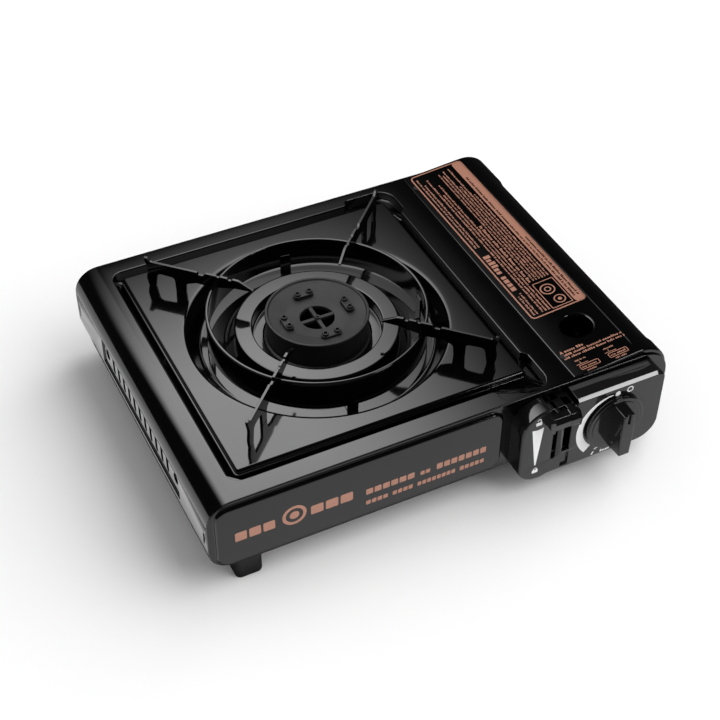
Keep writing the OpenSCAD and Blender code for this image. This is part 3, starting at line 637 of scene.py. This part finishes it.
def build_control_box():
    shape = Shape()
    notch = (68.5, 90)
    main_low = PANEL_Z0 + 2.2
    corners = [
        (notch[1], PANEL_Z1, 0), (PANEL_X1, PANEL_Z1, 7), (PANEL_X1, main_low, 16), (69.5, main_low, 3),
        (66.5, PANEL_Z0, 3), (PANEL_X0, PANEL_Z0, 15), (PANEL_X0, PANEL_Z1, 18), (notch[0], PANEL_Z1, 0),
    ]
    outline = [(p, -n) for p, n in rounded(corners, closed=False)]

    def front_edge(p, n):
        """Radius of the rounded front edge and width of the flat bevel along the top."""
        if p.x <= notch[0]:
            return 1.4, 0.05
        return 0.6, 0.05 + 1.9 * max(0, n.y) ** 1.5

    rings = [shape.loop([(p.x, YF - 0.05, p.y) for p, n in outline])]
    for degrees, past_bevel in ((0, 0), (22, 0), (45, 0), (45, 1), (68, 1), (90, 1)):
        angle = math.radians(degrees)
        ring = []
        for p, n in outline:
            r, bevel = front_edge(p, n)
            q = p - n * (r * (1 - math.cos(angle)) + bevel * past_bevel)
            ring.append((q.x, PANEL_FACE + r * (1 - math.sin(angle)) + bevel * (1 - past_bevel), q.y))
        rings.append(shape.loop(ring))
    shape.skin(rings, closed=False)
    brim = PANEL_Z1 - 4
    slots = [
        (notch[0], brim), (71.9, brim), (71.9, 26.2), (72.9, 25.2), (74.9, 25.2), (75.9, 26.2), (75.9, brim),
        (80.3, brim), (80.3, 28.7), (86.9, 28.7), (86.9, brim), (notch[1], brim),
    ]
    inner = shape.loop([(x, PANEL_FACE, z) for x, z in slots])
    # shallow groove below the second slot
    groove = shape.sweep(rectangle(80.5, main_low + 2, 86.7, 27.2, 0.4), [(0, 0), (-0.1, -0.3), (-0.4, -1.5)],
                         on_front(PANEL_FACE))
    shape.plate(groove[-1])
    shape.plate(rings[-1] + inner, groove[0])
    piece(shape, "control_box", "casing", PLASTIC, ["control_panel"],
          sheet=2, facing=(0, -1, 0))


def build_knob():
    shape = Shape()
    back = PANEL_FACE - 0.6
    disc_h = 3.4
    shape.slab(circle(KNOB_X, KNOB_Z, KNOB_R, 96), -back, -back + disc_h, 0.9, on_front(0))
    base, front = -back + disc_h, -KNOB_FRONT
    shape.slab(circle(KNOB_X, KNOB_Z, KNOB_R - 3.2, 96), base - 1, base + 0.5, 0.4, on_front(0))
    reach = 19.4

    def blade(end, mid, top):
        """Lens outline of the grip with small round corners, always of the same number of points."""
        right = [(end + (mid - end) * (1 - t * t), top * t) for t in [k / 8 - 1 for k in range(17)]]
        corner = [(end - 1.0 * (1 - math.cos(a)), top + 1.0 * math.sin(a)) for a in (0.5, 1.05, 1.5708)]
        half = right + corner
        return [Vector((KNOB_X + x, KNOB_Z + z)) for x, z in half + [(-x, z) for x, z in reversed(half)]
                + [(-x, -z) for x, z in corner] + [(x, -z) for x, z in reversed(corner)]]

    low_line, high_line = blade(4.7, 6.6, reach - 1), blade(4.3, 5.2, reach - 1.6)
    rings = [shape.loop([(p.x, -base + 0.2, p.y) for p in low_line]),
             shape.loop([(p.x, -base, p.y) for p in low_line])]
    floor_depth = front - 1.5
    for blend in (0.25, 0.5, 0.75, 1.0):
        height = base + (floor_depth - base) * blend
        mix = [a.lerp(b, blend ** 0.8) for a, b in zip(low_line, high_line)]
        rings.append(shape.loop([(p.x, -height, p.y) for p in mix]))
    shape.skin(rings)
    shape.plate(rings[0])
    shape.plate(rings[-1])
    groove = 0.95
    top = KNOB_Z + reach - 0.6
    low = KNOB_Z - reach + 0.6
    cap = rounded([
        (KNOB_X - 4.3, low, 1.2), (KNOB_X + 4.3, low, 1.2), (KNOB_X + 5, KNOB_Z, 60), (KNOB_X + 4.3, top, 1.0),
        (KNOB_X + groove, top, 0.4), (KNOB_X + groove, top - 8, 0.5), (KNOB_X - groove, top - 8, 0.5),
        (KNOB_X - groove, top, 0.4), (KNOB_X - 4.3, top, 1.0), (KNOB_X - 5, KNOB_Z, 60),
    ])
    section = [(0, floor_depth)] + [(o, front + u) for o, u in convex(0.7, 4)]
    rings = shape.sweep(cap, section, on_front(0))
    shape.plate(rings[0])
    shape.plate(rings[-1])
    piece(shape, "gas_knob", "knob", KNOB_PLASTIC, ["control_knob"], facing=(0, -1, 0))


def build_lever():
    shape = Shape()
    back, z = PANEL_FACE - 0.6, 66.5
    front = PANEL_FACE - 8.6
    profile = rounded([
        (back, z - 5.5, 0.8), (back, z + 5, 1.4), (front + 2.6, z + 4.4, 1.0), (front, z + 0.6, 0.7),
        (front + 0.6, z - 4.6, 0.9), (front + 1.4, z - 5.5, 0.6),
    ])
    profile = [(p, -n) for p, n in profile]
    ends = [
        (-1.6, 66.4), (-0.7, 66.7), (0, 67.8), (0, 79.4), (-0.4, 79.8), (-0.4, 85.6), (-0.9, 86.4), (-1.5, 86.6),
    ]
    rings = shape.sweep(profile, ends, lambda p, x: (x, p.x, p.y))
    shape.plate(rings[0])
    shape.plate(rings[-1])
    for x0, x1 in ((72.4, 75.4), (80.8, 86.4)):
        shape.block((x0, back - 0.4, z - 4), (x1, YF - 3, z + 4), 0.4)
    shape.block((70, PANEL_FACE + 3.2, z - 5), (88, YF - 3, z + 4), 0.6)
    shape.block((80, YF - 3.4, z - 4), (88, YF + 9, z + 4), 0.4)
    shape.block((80, YF + 5, z - 4), (100, YF + 9, z + 4), 0.4)
    piece(shape, "lock_lever", "lever", KNOB_PLASTIC, ["fuel_lock_lever"])


# ---------------------------------------------------------------- prints

PRINT, LETTER_WIDTH = 0.05, 0.62


class Print(Shape):
    """Marks that lie on a surface."""

    def __init__(self, place):
        super().__init__()
        self.place = place

    def ring(self, outline, inset=0.0):
        return self.loop([self.place(p - n * inset, PRINT) for p, n in outline])

    def patch(self, outline, *holes):
        self.plate(self.ring(outline), *[self.ring(hole) for hole in holes])

    def frame(self, outline, line):
        self.bridge(self.ring(outline), self.ring(outline, line))

    def bar(self, x0, y0, x1, y1, radius=0.25):
        self.patch(rectangle(x0, y0, x1, y1, radius))

    def word(self, start, end, base, height, count):
        """A run of equal plain blocks in place of a word."""
        gap = height * 0.2
        width = (end - start - gap * (count - 1)) / count
        for i in range(count):
            here = start + i * (width + gap)
            self.bar(here, base, here + width, base + height, 0.14 * height)

    def row(self, rng, start, end, base, height, along_y=False, words=(2, 8)):
        """A line of plain blocks in groups, in place of words."""
        here = start
        while here < end:
            for _ in range(rng.randint(*words)):
                width = height * LETTER_WIDTH * rng.uniform(0.7, 1.25)
                if here + width > end:
                    return
                tall = height * rng.choice((0.72, 0.72, 1.0))
                if along_y:
                    self.patch(rounded([(base, here, 0), (base + tall, here, 0), (base + tall, here + width, 0),
                                        (base, here + width, 0)]))
                else:
                    self.bar(here, base, here + width, base + tall, 0.12 * height)
                here += width + height * 0.2
            here += height * 0.5


def build_prints():
    rng = random.Random(7)
    # front: groups of plain blocks, with a plain ring round a disc between the first two
    front = Print(on_front(YF - EMBOSS_OUT))
    front.word(-154.5, -127, 43, 8, 3)
    front.frame(circle(-113.5, 48.5, 8.5), 2.4)
    front.patch(circle(-113.5, 48.5, 3.4, 32))
    front.word(-102, -72, 43, 8, 3)
    for start, end, base, height, count in (
            (-62.5, -27, 42.6, 5.2, 6), (-22.6, -15.4, 42.6, 3.6, 2), (-10.4, 27, 42.6, 5.2, 7),
            (-62.5, -46.5, 33, 3.8, 4), (-43, -28, 33, 3.8, 4), (-24.5, 4, 33, 3.8, 8), (7.5, 26, 33, 3.8, 5)):
        front.word(start, end, base, height, count)
    piece(front, "front_print", "casing", COPPER, sheet=PRINT / 2, facing=(0, -1, 0), flat=True)

    label = Print(on_lid)
    outline = rectangle(100.6, -46.6, 145.2, 139, 3.6)
    label.frame(outline, 1.1)
    label.patch(rectangle(136.6, -46, 144.8, 138.4, 3.2))
    for x, start, end, height in ((103.4, -14, 34, 5.2), (110.4, -43, 130, 1.5), (113, -43, 108, 1.5),
                                  (115.6, -43, 120, 1.5), (118.2, -12, 62, 2.2), (121.6, -12, 132, 1.4),
                                  (124, -12, 128, 1.4), (126.4, -12, 134, 1.4), (128.8, -12, 110, 1.4),
                                  (131.2, -12, 134, 1.4), (133.6, -12, 96, 1.4), (103.6, 40, 134, 1.5),
                                  (106.2, 40, 126, 1.5), (106.2, -43, -18, 1.5), (103.6, -43, -20, 1.5)):
        label.row(rng, start, end, x, height, along_y=True)
    label.frame(rectangle(118.6, -44, 135.4, -15, 0.6), 0.7)
    label.frame(circle(126, -24.5, 5.6, 40), 1.0)
    label.frame(circle(126, -24.5, 2.6, 32), 0.9)
    label.frame(circle(128.4, -37.2, 4.4, 40), 0.9)
    label.patch(circle(128.4, -37.2, 1.6, 24))
    piece(label, "lid_label", "lid", COPPER, sheet=PRINT / 2, flat=True)

    band = Print(lambda p, up: on_lid(p, up + PRINT))
    band.row(rng, -40, 118, 138.2, 1.7, along_y=True)
    band.row(rng, -40, 34, 141.2, 1.7, along_y=True)
    piece(band, "lid_band_lines", "lid", BLACK, sheet=PRINT / 2, flat=True)

    note = Print(on_lid)
    note.patch(rounded([(98.9, -85.6, 0.2), (101.7, -85.6, 0.2), (100.3, -82.6, 0.2)]))
    note.row(rng, 102.6, 119, -85.4, 2.2)
    note.row(rng, 99, 147, -88.6, 1.9)
    note.row(rng, 99, 147, -91.6, 1.9)
    for x, y in ((104, -105.4), (126.4, -105.4)):
        note.frame(rectangle(x, y, x + 15, y + 4.6, 1.0), 0.6)
        note.row(rng, x + 1.4, x + 13.6, y + 1.5, 1.6)
        note.bar(x - 1, y + 5.4, x + 8, y + 5.9, 0.1)
        note.bar(x + 2.4, y + 5.4, x + 2.9, y + 8.4, 0.1)
        note.row(rng, x, x + 9, y + 9, 1.3)
        note.row(rng, x + 3, x + 12, y - 2.3, 1.4)
    piece(note, "lid_note", "lid", COPPER, sheet=PRINT / 2, flat=True)

    marks = Print(on_front(PANEL_FACE))
    marks.patch(circle(121.3, 66.7, 2.1, 32))
    inner, outer = [], []
    for i in range(41):
        angle = math.radians(96 + 132 * i / 40)
        grow = (i / 40) ** 0.8
        for radius, side in ((24.0, inner), (24.5 + 6.4 * grow, outer)):
            side.append((KNOB_X + radius * math.cos(angle), KNOB_Z + radius * math.sin(angle), 0))
    marks.patch(rounded(inner + outer[::-1]))
    marks.patch(rounded([
        (54.6, 60.2, 0.3), (59.4, 25, 0.4), (60.4, 25, 0.4), (63.6, 60.2, 0.3), (59, 59.2, 4),
    ]))
    for x, y, tilt in ((109.6, 19.4, 25), (107.2, 15.4, 60)):
        count = len(marks.bm.verts)
        marks.patch(rectangle(-1.7, -0.7, 1.7, 0.7, 0.6))
        offset = Matrix.Translation(Vector((x, 0, y)) * MM) @ Matrix.Rotation(math.radians(-tilt), 4, "Y")
        marks.turn(count, offset)
    # closed ring: gas off; open and closed padlocks: lever positions
    marks.frame(circle(131, 67.2, 2.6, 32), 0.9)
    for x, z, lift in ((59.4, 63.4, 1.2), (60.4, 17.4, 0)):
        marks.bar(x - 2.3, z, x + 2.3, z + 3, 0.3)
        outside = [tuple(p) for p in arc(x, z + 3.4 + lift, 1.5, 0, 180, 12)]
        inside = [tuple(p) for p in arc(x, z + 3.4 + lift, 0.9, 180, 0, 12)]
        end = z + 3 + lift * 1.1
        shackle = [(x + 1.5, z + 2.9), *outside, (x - 1.5, end), (x - 0.9, end), *inside, (x + 0.9, z + 2.9)]
        marks.patch(rounded([(*p, 0) for p in shackle]))
    marks.row(rng, 113.5, 126, 13.8, 2.4, words=(3, 5))
    piece(marks, "panel_marks", "casing", WHITE, sheet=PRINT / 2, facing=(0, -1, 0), flat=True)


# ---------------------------------------------------------------- carried-over nodes

FINISHES = {
    BLACK: ["base_plate", "bay_tray"],
    ZINC: ["partition_wall", "base_screws", "lid_hinge_pins", "mixing_tube", "burner_bracket", "panel_screws",
           "regulator_body", "canister_carriage", "carriage_rails", "igniter_electrode"],
    ALUMINIUM: ["heat_plate"],
    BRASS: ["gas_jet", "valve_shaft", "canister_socket"],
    IRON: ["burner_base", "burner_pin"],
    CERAMIC: ["igniter_ceramic"],
    RUBBER: ["lid_bumpers", "hose_grommet"],
    KNOB_PLASTIC: ["piezo_igniter"],
}
for finish, names in FINISHES.items():
    for name in names:
        for slot in nodes[name].material_slots:
            slot.material = finish

build_casing()
build_front()
build_rear()
build_feet()
build_lid()
build_pan()
build_ring()
build_arms()
build_burner()
build_ports()
build_control_box()
build_knob()
build_lever()
build_prints()


# ---------------------------------------------------------------- floor, camera and lights

def build_floor():
    """A very wide thin disc, so that its rim stays out of sight."""
    shape = Shape()
    radius = 60000
    shape.revolve([(radius, -0.2), (radius, 0), (0.01, 0), (0.01, -0.2)], 0, 0, 0, 64)
    mesh = bpy.data.meshes.new("floor")
    shape.bm.to_mesh(mesh)
    shape.bm.free()
    floor = bpy.data.objects.new("floor", mesh)
    bpy.context.scene.collection.objects.link(floor)
    mat = surface("floor_paper", (0.90, 0.90, 0.90), 0.85, bump=0.0, tone=0.004)
    mat.node_tree.nodes["Principled BSDF"].inputs["Specular IOR Level"].default_value = 0.0
    mesh.materials.append(mat)
    floor.visible_glossy = False


def direction(azimuth, elevation):
    a, e = math.radians(azimuth), math.radians(elevation)
    return Vector((math.cos(a) * math.cos(e), math.sin(a) * math.cos(e), math.sin(e)))


def build_world(strength):
    world = bpy.data.worlds.new("studio")
    bpy.context.scene.world = world
    world.use_nodes = True
    world.node_tree.nodes["Background"].inputs["Strength"].default_value = strength
    world.node_tree.nodes["Background"].inputs["Color"].default_value = (1, 1, 1, 1)


def build_card(name, centre, across, facing, limits, strength):
    """A light card that only shows in reflections. Limits are (dark, full, full, dark) along each side."""
    up = facing.cross(across).normalized()
    (x0, _, _, x1), (y0, _, _, y1) = limits
    mesh = bpy.data.meshes.new(name)
    corners = [(x0, y0), (x1, y0), (x1, y1), (x0, y1)]
    mesh.from_pydata([(x * MM, y * MM, 0) for x, y in corners], [], [(0, 1, 2, 3)])
    card = bpy.data.objects.new(name, mesh)
    turn = Matrix((across, up, facing)).transposed().to_4x4()
    card.matrix_world = Matrix.Translation(Vector(centre) * MM) @ turn
    bpy.context.scene.collection.objects.link(card)
    card.visible_camera = card.visible_diffuse = card.visible_shadow = False
    card.visible_transmission = card.visible_volume_scatter = False
    mat = bpy.data.materials.new(name)
    mat.use_nodes = True
    tree = mat.node_tree
    tree.nodes.clear()
    coords = tree.nodes.new("ShaderNodeTexCoord")
    split = tree.nodes.new("ShaderNodeSeparateXYZ")
    tree.links.new(coords.outputs["Object"], split.inputs[0])
    mask = None
    for axis, (low_dark, low_full, high_full, high_dark) in enumerate(limits):
        for dark, full in ((low_dark, low_full), (high_dark, high_full)):
            ramp = tree.nodes.new("ShaderNodeMapRange")
            ramp.interpolation_type = "SMOOTHSTEP"
            ramp.inputs["From Min"].default_value = dark * MM
            ramp.inputs["From Max"].default_value = full * MM
            tree.links.new(split.outputs[axis], ramp.inputs["Value"])
            both = tree.nodes.new("ShaderNodeMath")
            both.operation = "MULTIPLY"
            both.inputs[0].default_value = 1
            if mask:
                tree.links.new(mask, both.inputs[0])
            tree.links.new(ramp.outputs["Result"], both.inputs[1])
            mask = both.outputs[0]
    glow = tree.nodes.new("ShaderNodeEmission")
    glow.inputs["Strength"].default_value = strength
    clear = tree.nodes.new("ShaderNodeBsdfTransparent")
    mix = tree.nodes.new("ShaderNodeMixShader")
    tree.links.new(mask, mix.inputs["Fac"])
    tree.links.new(clear.outputs[0], mix.inputs[1])
    tree.links.new(glow.outputs[0], mix.inputs[2])
    result = tree.nodes.new("ShaderNodeOutputMaterial")
    tree.links.new(mix.outputs[0], result.inputs["Surface"])
    mesh.materials.append(mat)


def build_lamp(name, azimuth, elevation, size, strength):
    """A very soft sun that doesn't show in reflections."""
    lamp = bpy.data.lights.new(name, "SUN")
    lamp.energy = strength
    lamp.angle = math.radians(size)
    sun = bpy.data.objects.new(name, lamp)
    sun.rotation_euler = direction(azimuth, elevation).to_track_quat("Z", "Y").to_euler()
    sun.visible_glossy = False
    bpy.context.scene.collection.objects.link(sun)


def build_camera():
    """The camera turns to the right, looks down and rolls a little; its place is in metres."""
    place = (-0.3600, -0.6941, 0.7672)
    heading, down, roll = -26.7067, 42.8431, 0.5681
    data = bpy.data.cameras.new("camera")
    data.lens = 74.69
    data.sensor_width = 36
    data.clip_end = 200
    camera = bpy.data.objects.new("camera", data)
    turn = Matrix.Rotation(math.radians(heading), 4, "Z") @ Matrix.Rotation(math.radians(90 - down), 4, "X")
    turn = turn @ Matrix.Rotation(math.radians(roll), 4, "Z")
    camera.matrix_world = Matrix.Translation(place) @ turn
    bpy.context.scene.collection.objects.link(camera)
    bpy.context.scene.camera = camera


build_floor()
build_camera()
build_world(0.02)
# the main card hangs low over the stove's back left; its normal points from the stove to the card
main_facing = direction(99.2, 68.6)
main_across = direction(189.2, 0)
main_up = main_facing.cross(main_across)
main_centre = main_facing * 222 + main_across * 43.5 + main_up * 215.8
main_limits = ((-237, -7, 110, 190), (-408, -239, -120, -80))
build_card("card_main", main_centre, main_across, main_facing, main_limits, 4.85)
# a small bright card in front draws the lines along the edges
front_facing = direction(-53, 33.5)
front_centre = Vector((100, -150, 76)) + front_facing * 900
front_limits = ((-165, -126, 126, 165), (-95, -60, 60, 95))
build_card("card_front", front_centre, direction(37, 0), front_facing, front_limits, 14)
# four cards on the floor stand in for it in reflections
for side, height, limits, strength in (
        ("front", 0.3, ((-1000, -800, 240, 310), (-1000, -800, -134, -112)), 0.85),
        ("left", 0.5, ((-1000, -800, -188, -174), (-400, -300, 300, 420)), 1.15),
        ("back", 0.7, ((-700, -500, 60, 150), (145, 160, 800, 1000)), 0.9),
        ("right", 0.9, ((174, 190, 600, 800), (-400, -300, -100, -50)), 0.9)):
    build_card(f"card_floor_{side}", (0, 0, height), Vector((1, 0, 0)), Vector((0, 0, 1)), limits, strength)
build_lamp("key", -12, 40, 85, 3.4)
build_lamp("fill", 0, 90, 180, 1.4)
bpy.context.scene.view_settings.view_transform = "Standard"
